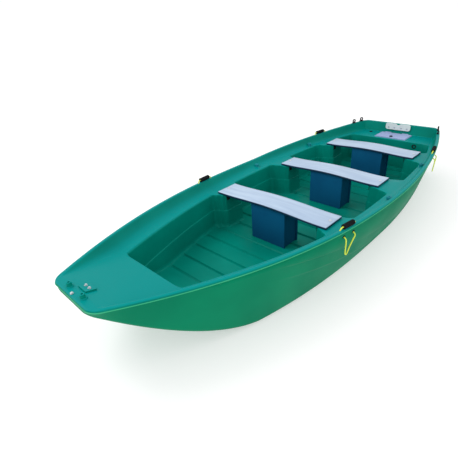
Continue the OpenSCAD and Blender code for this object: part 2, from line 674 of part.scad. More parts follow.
// The bolts' heads are sunk flush, so that a motor's clamp lies flat on the pad
module motor_pad_bolts() {
  color(steel) for (y = pad_bolt_y) translate([pad_inner_x + pad_t, y, pad_bolt_z])
    rotate([0, 90, 0]) rotate_extrude($fn = 48) polygon([
      [0, -pad_bolt_l], [bolt_d / 2, -pad_bolt_l], [bolt_d / 2, -pad_head_h - gap],
      [pad_head_r, -gap], [0, -gap]
    ]);
}

// Hatch in the stern deck, hinged along its aft edge
hinge_r = 5;
hinge_pin_r = 2;
hinge_x = hatch_aft_x + 5;
hinge_z = ledge_h + hatch_flange_t + gap + hinge_r;
hinge_y = 95;
knuckle_l = 22;
lid_t = 5;
lid_edge = 6;
module hinge_row(n, r, h) {
  for (s = [-1, 1]) translate([hinge_x, s * hinge_y + n * (knuckle_l + gap), hinge_z])
    rotate([90, 0, 0]) cylinder(h = h, r = r, center = true, $fn = 48);
}
module hatch_frame() {
  color("#98a4c4") difference() {
    union() {
      translate([hatch_aft_x, -hatch_w / 2, ledge_h]) cube([hatch_l, hatch_w, hatch_flange_t]);
      translate([hatch_x, 0, ledge_h + 1 - hatch_collar_h / 2])
        cube([hatch_cut_l - 2 * gap, hatch_cut_w - 2 * gap, hatch_collar_h], center = true);
      for (n = [-1, 1]) {
        hinge_row(n, hinge_r, knuckle_l);
        for (s = [-1, 1]) translate([hinge_x - hinge_r, s * hinge_y + n * (knuckle_l + gap) - knuckle_l / 2, ledge_h])
          cube([2 * hinge_r, knuckle_l, hinge_z - ledge_h]);
      }
    }
    translate([hatch_x + 4, 0, ledge_h]) cube([hatch_cut_l - 20, hatch_cut_w - 12, 60], center = true);
    for (n = [-1, 1]) hinge_row(n, hinge_pin_r + 0.05, knuckle_l + 2);
  }
}
lid_x0 = hinge_x + hinge_r + 1;
lid_x1 = hatch_aft_x + hatch_l - lid_edge;
lid_z = ledge_h + hatch_flange_t + gap;
latch_in = 36;           // latch centre to the lid's fore edge
latch_x = lid_x1 - latch_in;
latch_arm_w = 8;
latch_arm_l = 34;        // reach of the arm from the shaft's centre, and its tail behind it
latch_tail = 6;
latch_shaft_r = 4;
module hatch_lid() {
  color("#b9c2e0") difference() {
    union() {
      translate([lid_x0, -hatch_w / 2 + lid_edge, lid_z]) cube([lid_x1 - lid_x0, hatch_w - 2 * lid_edge, lid_t]);
      translate([hatch_x + 4, 0, lid_z - 4]) cube([hatch_cut_l - 28, hatch_cut_w - 20, 8], center = true);
      hinge_row(0, hinge_r, knuckle_l);
      for (s = [-1, 1]) translate([hinge_x, s * hinge_y - knuckle_l / 2, lid_z + 2])
        cube([lid_x0 - hinge_x + 1, knuckle_l, lid_t - 2]);
    }
    hinge_row(0, hinge_pin_r + 0.05, knuckle_l + 2);
    translate([latch_x, 0, lid_z - 20]) cylinder(h = 40, r = latch_shaft_r + 0.05, $fn = 48);
    translate([hatch_x + 4, 0, lid_z - 9]) cube([hatch_cut_l - 44, hatch_cut_w - 36, 12], center = true);
  }
}
module hatch_pin() {
  color(steel) hinge_row(0, hinge_pin_r, 3 * knuckle_l + 2 * gap);
}
module hatch_latch() {
  color(black) {
    translate([latch_x, 0, lid_z + lid_t + 0.2]) difference() {
      cylinder(h = 7, d = 34, $fn = 64);
      translate([-12, -2, 4]) cube([24, 4, 4]);
    }
    translate([latch_x, 0, lid_z - 32]) cylinder(h = 34 + lid_t, r = latch_shaft_r, $fn = 48);
    translate([latch_x - latch_arm_w / 2, -latch_tail, lid_z - 32]) cube([latch_arm_w, latch_arm_l + latch_tail, 5]);
  }
}

// A black plug in the deck beside the hatch, and the ring round the hose hole below it
plug_y = 282;
plug_back = 106;
module deck_plug() {
  color(black) translate([stern_x + plug_back, -plug_y, ledge_h - 8]) {
    cylinder(h = 10, d = 20, $fn = 48);
    translate([0, 0, 8]) rotate_extrude($fn = 48)
      polygon([[0, 0], [17, 0], [17, 2], [14, 5], [0, 6]]);
  }
}
module bulkhead_cap() {
  color(black) translate([cap_x, cap_y, cap_z]) rotate([0, 90, 0]) difference() {
    union() {
      translate([0, 0, -14]) cylinder(h = 18, d = cap_bore + 6, $fn = 64);
      translate([0, 0, 1]) cylinder(h = 4, d = cap_bore + 18, $fn = 64);
    }
    translate([0, 0, -20]) cylinder(h = 40, d = cap_bore, $fn = 64);
  }
}
module drain_flange() {
  color(black) on_transom(drain_z) difference() {
    union() {
      translate([0, 0, gap / 2]) cylinder(h = drain_flange_t, d = drain_bore + 30, $fn = 64);
      translate([0, 0, -hull_wall - 6]) cylinder(h = hull_wall + 8, d = drain_bore + 5, $fn = 64);
    }
    translate([0, 0, -30]) cylinder(h = 60, d = drain_bore, $fn = 64);
  }
}
module drain_plug() {
  color(black) on_transom(drain_z) {
    translate([0, 0, -9]) cylinder(h = 9 + drain_flange_t + 2, d = drain_bore - 0.1, $fn = 64);
    translate([0, 0, drain_flange_t + gap]) cylinder(h = 5, d = drain_bore + 10, $fn = 64);
    translate([-3, -12, drain_flange_t + 5]) cube([6, 24, 9]);
  }
}

// Bow fittings
bollard_y = 72;
bollard_back = 38;
module bow_bollards() {
  x = bow_x - bollard_back;
  color(hull_green) for (s = [-1, 1]) translate([x, s * bollard_y, deck_z(x) - 5]) rotate_extrude($fn = 48)
    polygon([[0, 0], [20, 0], [20, 6], [15, 10], [12.5, 24], [13.5, 28], [11.5, 31], [6, 31], [5, 20], [0, 20]]);
}
plate_back = 94;
module on_foredeck(x, y) {
  translate([x, y, deck_z(x)]) rotate([0, -deck_pitch, 0]) children();
}
module bow_plate() {
  color(hull_green) on_foredeck(bow_x - plate_back, 0) translate([-30, -38, -2]) cube([60, 76, 11]);
}
front_bolt_back = 16;
module hex_bolt(l) {
  cylinder(h = 2, r = 8.5, $fn = 48);
  cylinder(h = 8, r = 6.5, $fn = 6);
  translate([0, 0, -l]) cylinder(h = l + 1, r = 4, $fn = 32);
}
module bow_bolts() {
  color(steel) {
    for (s = [-1, 1]) on_foredeck(bow_x - plate_back, s * 18) translate([0, 0, 9]) hex_bolt(24);
    translate([bow_x - front_bolt_back, 0, rim_z(bow_x - front_bolt_back)]) hex_bolt(10);
  }
}

hull_shell();
cockpit_liner();
floor_foam();
side_foam();  // side_foam_port
mirror([0, 1, 0]) side_foam();  // side_foam_starboard
bow_foam();
keel_skids();
bench_names = ["fore", "middle", "aft"];
for (b = [0 : 2]) {
  n = bench_names[b];
  bench_board(b);
  bench_bolts(b);
  bench_brackets(b);
  pedestal_panel(b, 1);
  pedestal_panel(b, -1);
  pedestal_sides(b);
  pedestal_rails(b);
  pedestal_screws(b);
}
for (s = [1, -1], i = [0, 1]) {
  n = str(s > 0 ? "port" : "starboard", i == 0 ? "_fore" : "_aft");
  rowlock_socket(s, i);
  handle_grip(s, i);
  handle_rope(s, i);
}
rope_bushes();
quarter_eyes(1);  // quarter_eyes_port
quarter_eyes(-1);  // quarter_eyes_starboard
motor_pad_inner();
motor_pad_outer();
motor_pad_bolts();
hatch_frame();
hatch_lid();
hatch_pin();
hatch_latch();
deck_plug();
bulkhead_cap();
drain_flange();
drain_plug();
bow_bollards();
bow_plate();
bow_bolts();
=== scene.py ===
"""A flat-bottomed plastic fishing boat, dressed around its frame.

Metres, in the frame's own axes: +X towards the bow, +Y to port, +Z up, with the
origin amidships on the centreline at the underside of the keel skids.
"""

import json
import math

import bmesh
import bpy
import numpy as np
from mathutils import Matrix, Vector


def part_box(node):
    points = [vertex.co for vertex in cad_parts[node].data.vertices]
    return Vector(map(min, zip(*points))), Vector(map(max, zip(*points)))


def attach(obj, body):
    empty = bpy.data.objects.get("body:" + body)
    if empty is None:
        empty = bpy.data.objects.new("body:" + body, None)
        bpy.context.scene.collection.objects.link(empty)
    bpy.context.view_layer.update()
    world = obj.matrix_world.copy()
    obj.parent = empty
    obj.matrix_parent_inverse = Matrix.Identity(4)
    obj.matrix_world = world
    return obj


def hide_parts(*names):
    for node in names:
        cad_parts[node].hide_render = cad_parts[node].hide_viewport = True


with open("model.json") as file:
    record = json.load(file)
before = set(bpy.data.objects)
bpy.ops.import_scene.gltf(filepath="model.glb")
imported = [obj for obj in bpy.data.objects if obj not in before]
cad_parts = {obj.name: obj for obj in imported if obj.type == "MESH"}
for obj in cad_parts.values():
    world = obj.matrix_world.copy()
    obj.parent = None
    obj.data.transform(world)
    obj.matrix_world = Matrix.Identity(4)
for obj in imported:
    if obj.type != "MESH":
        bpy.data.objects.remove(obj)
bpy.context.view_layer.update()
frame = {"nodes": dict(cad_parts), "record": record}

# ---------------------------------------------------------------- sizes of the boat
HULL_L, BEAM, BOW_W, TRANSOM_W = 3.910, 1.428, 0.394, 0.822
SIDE_H, BOW_LIFT, STERN_LIFT = 0.422, 0.092, 0.042
WIDEST_X = -0.276
FLARE, BOW_FLARE, STERN_FLARE = 0.112, 0.020, 0.052
BOW_X, STERN_X = HULL_L / 2, -HULL_L / 2
RISE_X = BOW_X - 0.855
FORE_BULKHEAD_X, STERN_BULKHEAD_X = BOW_X - 0.460, STERN_X + 0.290
BOW_R, STERN_R = 0.045, 0.070
BOW_FULLNESS, STERN_FULLNESS = 2.45, 1.95
TIP_DROP, SKID_T, CHINE_R, FLANGE_H, RAKE = 0.040, 0.014, 0.024, 0.014, 0.070
GAP = 0.0003
FLOOR_H, LEDGE_H, LEDGE_W, WALL_STEP_H = 0.065, 0.358, 0.135, 0.215
FORE_LEDGE_LIFT, DECK_FRONT, CLIMB_START = 0.046, 0.050, 0.025
FORE_WIDENING, AFT_NARROWING, TIP_COAMING = 0.025, 0.055, 0.052
TRANSOM_FOOT, BULKHEAD_LEAN, WALL_LEAN, WALL_TOP_IN = 0.050, 0.015, 0.014, 0.003
# The knuckles grow forward from KNUCKLE_FROM and die out forward of KNUCKLE_TO
KNUCKLE_T, KNUCKLE_FROM, KNUCKLE_GROWTH, KNUCKLE_TO, KNUCKLE_FADE = 0.012, -0.740, 0.500, 0.700, 0.400
SKIN_T = 0.003
RAKE_REACH = 0.400       # the transom's lean dies out this far forward
GUNWALE_W = 0.027
HULL_PITCH, LINER_PITCH, HIGHLIGHT_BEAD_PITCH = 0.020, 0.024, 0.030
# Radius of the painted highlight bead along the gunwale
HIGHLIGHT_BEAD_R = 0.0028
BOARD_W, BOARD_T, BOARD_CROWN = 0.210, 0.020, 0.014
PILLAR_REACH, PILLAR_FLAT, PILLAR_FOOT = 0.076, 0.085, 0.170
BOX_W, BOX_D, PANEL_T = 0.320, 0.176, 0.015
GRIP_D, HANDLE_IN, ROPE_D = 0.034, 0.016, 0.009
BENCHES = ("fore", "middle", "aft")
COCKPIT_L = FORE_BULKHEAD_X - STERN_BULKHEAD_X
BENCH_X = [STERN_BULKHEAD_X + share * COCKPIT_L for share in (0.637, 0.374, 0.129)]
BENCH_INSET = (0.180, 0.228, 0.154)
HANDLE_X = (BENCH_X[0] + 0.106, BENCH_X[2] + 0.018)

# Floor grooves run across the boat, one every GROOVE_PITCH from the foremost one
GROOVE_X, GROOVE_PITCH, GROOVE_N = 1.125, 0.158, 18
GROOVE_HALF, GROOVE_SLOPE, GROOVE_DEEP = 0.006, 0.007, 0.012
FLUTES, FLUTE_DEEP = 3.5, 0.014


# ---------------------------------------------------------------- camera
CAMERA_AT = Vector((2.364, 1.581, 1.620))
CAMERA_HEADING, CAMERA_DIP, CAMERA_ROLL = 226.205, 29.616, -4.552
CAMERA_LENS, SENSOR = 28.98, 36.0


def place_camera():
    """Looks along a heading, dipped below the horizon, then rolls about that line."""
    heading, dip, roll = (math.radians(a) for a in (CAMERA_HEADING, CAMERA_DIP, CAMERA_ROLL))
    ahead = Vector((
        math.cos(dip) * math.cos(heading), math.cos(dip) * math.sin(heading), -math.sin(dip)
    ))
    level = ahead.cross(Vector((0, 0, 1))).normalized()
    right = level * math.cos(roll) + level.cross(ahead) * math.sin(roll)
    turn = Matrix((right, right.cross(ahead), -ahead)).transposed()
    data = bpy.data.cameras.new("camera")
    data.lens, data.sensor_width, data.clip_end = CAMERA_LENS, SENSOR, 200.0
    camera = bpy.data.objects.new("camera", data)
    camera.matrix_world = Matrix.Translation(CAMERA_AT) @ turn.to_4x4()
    bpy.context.scene.collection.objects.link(camera)
    bpy.context.scene.camera = camera


# ---------------------------------------------------------------- lines of the hull
def smooth(u):
    """The cubic 3u^2 - 2u^3 with u held between 0 and 1."""
    held = np.clip(u, 0, 1)
    return held * held * (3 - 2 * held)


def mix(a, b, u):
    """A straight line from a to b as u goes from 0 to 1."""
    return a + (b - a) * u


def corner(d, r):
    """How far a quarter circle of radius r stands back at a distance d from its start."""
    return np.where(d < r, r - np.sqrt(np.maximum(0, r * r - (r - d) ** 2)), 0)


def share_fore(x):
    """0 at the widest station and 1 at the bow."""
    return np.clip((x - WIDEST_X) / (BOW_X - WIDEST_X), 0, 1)


def share_aft(x):
    """0 at the widest station and 1 at the stern."""
    return np.clip((WIDEST_X - x) / (WIDEST_X - STERN_X), 0, 1)


def rim_y(x):
    """Half the beam, less a power of the way to the bow or the stern, less the corners."""
    fore = (BEAM - BOW_W) / 2 * share_fore(x) ** BOW_FULLNESS
    aft = (BEAM - TRANSOM_W) / 2 * share_aft(x) ** STERN_FULLNESS
    return BEAM / 2 - fore - aft - corner(BOW_X - x, BOW_R) - corner(x - STERN_X, STERN_R)


def rim_z(x):
    """The sheer: lowest at the widest station, lifted by a power of the way to each end."""
    return SIDE_H + BOW_LIFT * share_fore(x) ** 1.4 + STERN_LIFT * share_aft(x) ** 1.2


def flare_at(x):
    """Gunwale to chine across: the flare, mixed towards each end by a power of the way there."""
    fore, aft = share_fore(x) ** 1.5, share_aft(x) ** 3
    return FLARE + (BOW_FLARE - FLARE) * fore + (STERN_FLARE - FLARE) * aft


def chine_z(x):
    """Level, then a 1.6 power curve up to the bow from where the bottom starts to rise."""
    rise = SIDE_H + BOW_LIFT - TIP_DROP - SKID_T
    return SKID_T + rise * np.clip((x - RISE_X) / (BOW_X - RISE_X), 0, 1) ** 1.6


def floor_z(x):
    """The floor lies a fixed height above the chine."""
    return chine_z(x) + FLOOR_H - SKID_T


def ledge_z(x):
    """Level, then a 1.3 power curve up from just ahead of the fore bench to the foredeck."""
    start = BENCH_X[0] + BOARD_W / 2 + CLIMB_START
    return LEDGE_H + FORE_LEDGE_LIFT * np.clip((x - start) / (FORE_BULKHEAD_X - start), 0, 1) ** 1.3


def deck_share(x):
    """0 at the fore bulkhead and 1 where the foredeck meets the gunwale."""
    return np.clip((x - FORE_BULKHEAD_X) / (BOW_X - DECK_FRONT - FORE_BULKHEAD_X), 0, 1)


def deck_z(x):
    """The stern deck is level; the foredeck climbs straight to just under the gunwale."""
    return np.where(x < 0, LEDGE_H, mix(LEDGE_H + FORE_LEDGE_LIFT, rim_z(x) - 0.002, deck_share(x)))


def coaming_w(x):
    """Gunwale edge to ledge edge: wider to the fore bulkhead, narrower aft and to the tip."""
    fore = LEDGE_W + FORE_WIDENING * smooth(x / FORE_BULKHEAD_X * 1.5 - 0.3)
    aft = LEDGE_W - AFT_NARROWING * smooth(x / STERN_BULKHEAD_X * 1.25 - 0.2)
    tip = mix(LEDGE_W + FORE_WIDENING, TIP_COAMING, deck_share(x))
    return np.where(x > FORE_BULKHEAD_X, tip, np.where(x > 0, fore, aft))


def wall_y(x):
    """The cockpit wall's top edge, without its pillars."""
    return rim_y(x) - coaming_w(x)


def board_end(b):
    """Half a board's length: the gunwale at its bench less its inset."""
    return float(rim_y(np.array(BENCH_X[b]))) - BENCH_INSET[b]


def pillar_y(b):
    """A pillar's inner face, a fixed reach inboard of its board's end."""
    return board_end(b) - PILLAR_REACH


def pillar(x):
    """Each bench's pillar stands flat out from the wall, then eases back to it both ways."""
    reach = np.zeros_like(x)
    for b, bench in enumerate(BENCH_X):
        away = np.abs(x - bench)
        ease = 1 - smooth((away - PILLAR_FLAT) / (PILLAR_FOOT - PILLAR_FLAT))
        reach = np.maximum(reach, np.where(away < PILLAR_FOOT, (wall_y(x) - pillar_y(b)) * ease, 0))
    return reach


def flute(x):
    """Upright hollows in the slope of each pillar: a raised cosine across the slope."""
    deep = np.zeros_like(x)
    for bench in BENCH_X:
        u = (np.abs(x - bench) - PILLAR_FLAT) / (PILLAR_FOOT - PILLAR_FLAT)
        wave = 0.5 - 0.5 * np.cos(2 * math.pi * FLUTES * u)
        deep = deep + np.where((u > 0) & (u < 1), wave * FLUTE_DEEP * np.sin(math.pi * np.clip(u, 0, 1)), 0)
    return deep


def groove(x):
    """Depth of the floor's grooves: flat in the middle with an eased slope to each side."""
    deep = np.zeros_like(x)
    for n in range(GROOVE_N):
        away = np.abs(x - (GROOVE_X - n * GROOVE_PITCH))
        deep = np.maximum(deep, GROOVE_DEEP * (1 - smooth((away - GROOVE_HALF) / GROOVE_SLOPE)))
    return deep


# ---------------------------------------------------------------- mesh tools
def rounded(net, radii, arc):
    """Rounds a net along its second axis. A control point with a radius becomes arc points
    of a quadratic Bezier curve that starts and ends that far from it, or short of half way
    to its neighbour; a point with none stays."""
    columns = [net[:, :1]]
    t = np.linspace(0, 1, arc)[None, :, None]
    for k in range(1, net.shape[1] - 1):
        p = net[:, k]
        if not radii[k]:
            columns.append(p[:, None])
            continue
        back, ahead = net[:, k - 1] - p, net[:, k + 1] - p
        long_b = np.maximum(np.linalg.norm(back, axis=1), 1e-6)[:, None]
        long_a = np.maximum(np.linalg.norm(ahead, axis=1), 1e-6)[:, None]
        cut = np.minimum(radii[k], 0.45 * np.minimum(long_b, long_a))
        a, b = (p + back / long_b * cut)[:, None], (p + ahead / long_a * cut)[:, None]
        columns.append((1 - t) ** 2 * a + 2 * t * (1 - t) * p[:, None] + t ** 2 * b)
    columns.append(net[:, -1:])
    return np.concatenate(columns, axis=1)


def grid_quads(n, m, ring=False):
    """Quads of a grid of n rows and m points, closed round each row if it is a ring."""
    i, k = np.meshgrid(np.arange(n - 1), np.arange(m if ring else m - 1), indexing="ij")
    a, b = i * m + k, i * m + (k + 1) % m
    return np.stack([a, b, b + m, a + m], axis=-1).reshape(-1, 4)


def piece(name, points, faces, finish, replaces=(), sharp=32, uv=None):
    """Puts points and lists of equal-sided faces into one mesh, and rides it on the hull."""
    mesh = bpy.data.meshes.new(name)
    corners = np.concatenate([np.asarray(f).ravel() for f in faces]).astype(np.int32)
    sizes = np.concatenate([np.full(len(f), np.asarray(f).shape[1]) for f in faces])
    starts = (np.cumsum(sizes) - sizes).astype(np.int32)
    mesh.vertices.add(len(points))
    mesh.vertices.foreach_set("co", np.asarray(points, dtype=np.float32).ravel())
    mesh.loops.add(len(corners))
    mesh.loops.foreach_set("vertex_index", corners)
    mesh.polygons.add(len(sizes))
    mesh.polygons.foreach_set("loop_start", starts)
    mesh.update(calc_edges=True)
    if uv is not None:
        layer = mesh.uv_layers.new(name="lay")
        layer.uv.foreach_set("vector", uv[corners].astype(np.float32).ravel())
    mesh.polygons.foreach_set("use_smooth", np.ones(len(sizes), dtype=bool))
    mesh.set_sharp_from_angle(angle=math.radians(sharp))
    mesh.validate()
    obj = bpy.data.objects.new(name, mesh)
    bpy.context.scene.collection.objects.link(obj)
    mesh.materials.append(finish)
    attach(obj, "root")
    if replaces:
        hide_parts(*replaces)
    return obj


def seen_from(points, faces, eye, away=False):
    """Turns all the faces round together if, by area, more of them look away from the eye."""
    flat = np.concatenate([f[:, :3] for f in faces])
    a, b, c = (points[flat[:, k]] for k in range(3))
    looks = np.einsum("ij,ij->", np.cross(b - a, c - a), np.asarray(eye) - a)
    return [f[:, ::-1] for f in faces] if (looks < 0) != away else faces


def thicken(obj, t):
    """Gives a sheet its wall, behind the side that its faces point to."""
    wall = obj.modifiers.new("wall", "SOLIDIFY")
    wall.thickness, wall.offset = t, -1
    return obj


def both_sides(half):
    """A half section from the centreline out, mirrored into a whole one, port side last."""
    return np.concatenate([(half * np.array([1, -1, 1]))[:, :0:-1], half], axis=1)


def stations(spots, low, high, near=0.0025):
    """The given x values inside a range, in order, without any that crowd the one before."""
    inside = np.sort(np.array([x for x in spots if low < x < high]))
    kept = inside[np.concatenate([[True], np.diff(inside) > near])]
    return kept


# ---------------------------------------------------------------- skins
def hull_skin(finish):
    """The outer skin: a half section of nine control points from the keel out over the
    chine and two knuckles to the gunwale, rounded, mirrored and carried along x. The
    stern rows lean with the transom, and both ends are closed flat."""
    bend = np.linspace(0, math.pi / 2, 9)
    x = np.concatenate([
        STERN_X + STERN_R * (1 - np.cos(bend)),
        np.arange(STERN_X + STERN_R + HULL_PITCH, BOW_X - BOW_R - 0.005, HULL_PITCH),
        (BOW_X - BOW_R * (1 - np.cos(bend)))[::-1],
    ])
    ry, rz, cz = rim_y(x), rim_z(x), chine_z(x)
    cy = ry - flare_at(x)
    r = np.minimum(CHINE_R, 0.4 * (rz - FLANGE_H - cz))
    low = np.clip(0.08 + 0.55 * x, 0.03, 0.9)
    high = np.maximum(low + 0.06, np.clip(0.38 + 0.5 * x, 0.03, 0.9))
    d = KNUCKLE_T * smooth((x - KNUCKLE_FROM) / KNUCKLE_GROWTH)
    d = d * (1 - smooth((x - KNUCKLE_TO) / KNUCKLE_FADE))

    def side(k, inset=0):
        """The side panel between chine and flange, a share k of the way up it."""
        return mix(cy, ry, k) - inset, mix(cz + r, rz - FLANGE_H, k)

    section = [
        (0 * x, cz), (cy - r, cz), (cy - 0.3 * r, cz + 0.3 * r), (cy, cz + r),
        side(low - 0.02, 0.4 * d), side(low + 0.02), side(high - 0.03, d), side(high),
        (ry, rz - FLANGE_H - GAP),
    ]
    half = np.stack([np.stack([x, y, z], axis=-1) for y, z in section], axis=1)
    radii = [0, 0.012, 0.010, 0.014, 0.004, 0.003, 0.002, 0.003, 0]
    net = both_sides(rounded(half, radii, 4))
    height = (net[..., 2] - SKID_T) / (rz - SKID_T)[:, None]
    net[..., 0] += RAKE * (1 - height) * (1 - smooth((x - STERN_X) / RAKE_REACH))[:, None]
    n, m = net.shape[:2]
    k = np.arange(m // 2)
    cap = np.stack([k, k + 1, m - 2 - k, m - 1 - k], axis=-1)
    cap = cap[cap[:, 1] < cap[:, 2]]
    last = (n - 1) * m
    points = net.reshape(-1, 3)
    faces = seen_from(points, [grid_quads(n, m)[:, ::-1], cap, (cap + last)[:, ::-1]], (0, 0, 0.3), True)
    skin = piece("hull_skin", points, faces, finish, ["hull_shell"], sharp=20)
    return thicken(skin, SKIN_T)


def inner_section(x, decked):
    """Centreline to ledge edge: the floor with its grooves, the foot, the wall up to its
    step and on to the ledge, or level across where there is a deck."""
    z0 = np.zeros_like(x)
    edge, f, step = wall_y(x) - pillar(x), floor_z(x), np.maximum(WALL_STEP_H, floor_z(x) + 0.040)
    y = edge - WALL_LEAN
    wavy = y + flute(x)
    dip = f - groove(x)
    top = edge - WALL_TOP_IN + flute(x)
    opened = [
        (z0, dip), (y - 0.020, dip), (y - 0.005, f + 0.007), (wavy, f + 0.024),
        (wavy + 0.003, step), (top, step + 0.005), (top, ledge_z(x) - 0.011),
    ]
    level = [(u * edge, deck_z(x)) for u in (0, 0.2, 0.4, 0.55, 0.7, 0.82, 0.93)]
    return [
        (np.where(decked, a[0], b[0]), np.where(decked, a[1], b[1]))
        for a, b in zip(level, opened)
    ]


def outer_section(x, decked):
    """Ledge edge to hull edge: flat ledge, hollow slope of the coaming, round gunwale."""
    edge, rz, ry = wall_y(x) - pillar(x), rim_z(x), rim_y(x)
    lz = np.where(decked, deck_z(x), ledge_z(x))
    a, b = wall_y(x) + 0.007, ry - GUNWALE_W
    return [
        (edge + 0.007, lz), (mix(a, b, 0.34), lz), (mix(a, b, 0.66), mix(lz, rz, 0.24)),
        (mix(a, b, 0.86), mix(lz, rz, 0.62)), (b, rz - 0.002), (ry - 0.014, rz),
        (ry - 0.003, rz - 0.003), (ry, rz - FLANGE_H),
    ]


def liner_rows(x, decked):
    """Half sections at x as rows of points, from the centreline out to the hull edge."""
    half = inner_section(x, decked) + outer_section(x, decked)
    return np.stack([np.stack([x, y, z], axis=-1) for y, z in half], axis=1)


def lip_rows(end, inward):
    """Across each end the gunwale runs from side to side: four rows from its outer edge in."""
    rows = []
    for back, top in ((0.0, 0.0015 - FLANGE_H), (0.002, -0.003), (0.012, 0.0), (0.028, -0.002)):
        row = liner_rows(np.array([end + inward * back]), np.array([True]))
        height = rim_z(row[:, :1, 0]) + top
        row[:, :-3, 2] = height
        row[:, -3:, 2] = np.minimum(row[:, -3:, 2], height)
        rows.append(row)
    return np.concatenate(rows)


def liner_skin(finish):
    """The inner skin: a net of half sections along x, rounded along each section and, at
    the lips, deck edges and bulkhead feet, along the boat too."""
    grooves = [GROOVE_X - n * GROOVE_PITCH + d for n in range(GROOVE_N)
               for d in (-0.013, -0.0095, -0.006, 0.006, 0.0095, 0.013)]
    slopes = [b + s * d for b in BENCH_X for s in (-1, 1)
              for d in np.arange(PILLAR_FLAT, PILLAR_FOOT + 0.001, 0.004)]
    spots = list(np.arange(STERN_X, BOW_X, LINER_PITCH)) + grooves + slopes
    foot_a, foot_f = STERN_BULKHEAD_X + BULKHEAD_LEAN, FORE_BULKHEAD_X - BULKHEAD_LEAN
    stern = stations(spots, STERN_X + TRANSOM_FOOT + 0.01, STERN_BULKHEAD_X - 0.01)
    well = stations(spots, foot_a + 0.01, foot_f - 0.01)
    bow = stations(spots, FORE_BULKHEAD_X + 0.01, BOW_X - DECK_FRONT - 0.01)
    x = np.concatenate([
        [STERN_X + TRANSOM_FOOT], stern, [STERN_BULKHEAD_X, foot_a], well,
        [foot_f, FORE_BULKHEAD_X], bow, [BOW_X - DECK_FRONT],
    ])
    decked = (x <= STERN_BULKHEAD_X) | (x >= FORE_BULKHEAD_X)
    half = np.concatenate([lip_rows(STERN_X, 1), liner_rows(x, decked), lip_rows(BOW_X, -1)[::-1]])
    across = [0, 0.006, 0.010, 0.012, 0.006, 0.006, 0.004, 0.010, 0.014, 0.020, 0.016, 0.008,
              0.006, 0.003, 0]
    net = rounded(half, across, 4)
    bends = dict.fromkeys([STERN_BULKHEAD_X, foot_a, foot_f, FORE_BULKHEAD_X], 0.007)
    bends[x[0]] = 0.012
    bends[x[-1]] = 0.012
    along = [0, 0.001, 0.005, 0.008] + [bends.get(v, 0) for v in x] + [0.008, 0.005, 0.001, 0]
    net = rounded(net.transpose(1, 0, 2), along, 5).transpose(1, 0, 2)
    net = both_sides(net)
    n, m = net.shape[:2]
    points = net.reshape(-1, 3)
    faces = seen_from(points, [grid_quads(n, m)], (0, 0, 9))
    skin = piece(
        "liner_skin", points, faces, finish,
        ["cockpit_liner"], sharp=50,
    )
    cut_holes(skin)
    return thicken(skin, SKIN_T)


def cut_holes(skin):
    """Takes away the faces of the stern deck that lie under the hatch's frame."""
    low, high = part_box("hatch_frame")
    margin = 0.014
    mesh = skin.data
    centres = np.empty(len(mesh.polygons) * 3, dtype=np.float32)
    mesh.polygons.foreach_get("center", centres)
    centres = centres.reshape(-1, 3)
    inside = (
        (np.abs(centres[:, 1]) < high[1] - margin) & (centres[:, 0] > low[0] + margin)
        & (centres[:, 0] < high[0] - margin) & (np.abs(centres[:, 2] - LEDGE_H) < 0.004)
    )
    shape = bmesh.new()
    shape.from_mesh(mesh)
    shape.faces.ensure_lookup_table()
    gone = [shape.faces[i] for i in np.flatnonzero(inside)]
    bmesh.ops.delete(shape, geom=gone, context="FACES")
    shape.to_mesh(mesh)
    shape.free()


def painted_gunwale_highlight(finish):
    """A painted highlight: a bright tube along the joint below the gunwale, a small circle carried round the
    rim of the hull, up one side and down the other, for the light caught along the gunwale's edge."""
    bend = np.linspace(0, math.pi / 2, 9)
    x = np.concatenate([
        STERN_X + STERN_R * (1 - np.cos(bend)),
        np.arange(STERN_X + STERN_R + HIGHLIGHT_BEAD_PITCH, BOW_X - BOW_R - 0.01, HIGHLIGHT_BEAD_PITCH),
        (BOW_X - BOW_R * (1 - np.cos(bend)))[::-1],
    ])
    port = np.stack([x, rim_y(x), rim_z(x) - FLANGE_H], axis=-1)
    loop = np.concatenate([port, port[::-1] * (1, -1, 1), port[:1]])
    ahead = np.gradient(loop, axis=0)
    out = np.cross(ahead, [0, 0, 1])
    out /= np.linalg.norm(out, axis=1)[:, None]
    a = np.linspace(0, 2 * math.pi, 10, endpoint=False)[None, :, None]
    rings = loop[:, None] + HIGHLIGHT_BEAD_R * (np.cos(a) * out[:, None] + np.sin(a) * np.array([0, 0, 1]))
    n, m = rings.shape[:2]
    bead = piece("painted_gunwale_highlight", rings.reshape(-1, 3), [grid_quads(n, m, True)], finish)
    face_outwards(bead)


# ---------------------------------------------------------------- benches
def crowned_bar(name, x0, x1, ends, under, over, r, finish, replaces):
    """A bar across the boat: a rectangle in x and z whose corners are quarter circles of
    radius r, carried along y between two height curves, its last rows drawn in by r."""
    bend = np.linspace(0, math.pi / 2, 5)
    inset = r * (1 - np.sin(bend))
    tip = ends - r + r * np.cos(bend)
    middle = np.linspace(-(ends - r), ends - r, 41)
    y = np.concatenate([-tip, middle[1:-1], tip[::-1]])
    drawn = np.concatenate([inset, np.zeros(len(middle) - 2), inset[::-1]])[:, None]
    a = np.concatenate([q * math.pi / 2 + bend for q in range(4)])[None, :]
    q = np.repeat(np.arange(4), len(bend))[None, :]
    right, top = (q == 0) | (q == 3), (q == 0) | (q == 1)
    xs = np.where(right, x1 - r, x0 + r) + (r - drawn) * np.cos(a)
    zs = np.where(top, over(y)[:, None] - r, under(y)[:, None] + r) + (r - drawn) * np.sin(a)
    xs, ys = xs + 0 * drawn, np.broadcast_to(y[:, None], zs.shape)
    points = np.stack([xs, ys, zs], axis=-1)
    n, m = points.shape[:2]
    ring = np.arange(m)[None, :]
    faces = [grid_quads(n, m, True), ring[:, ::-1], ring + (n - 1) * m]
    obj = piece(name, points.reshape(-1, 3), faces, finish, replaces)
    face_outwards(obj)
    return obj


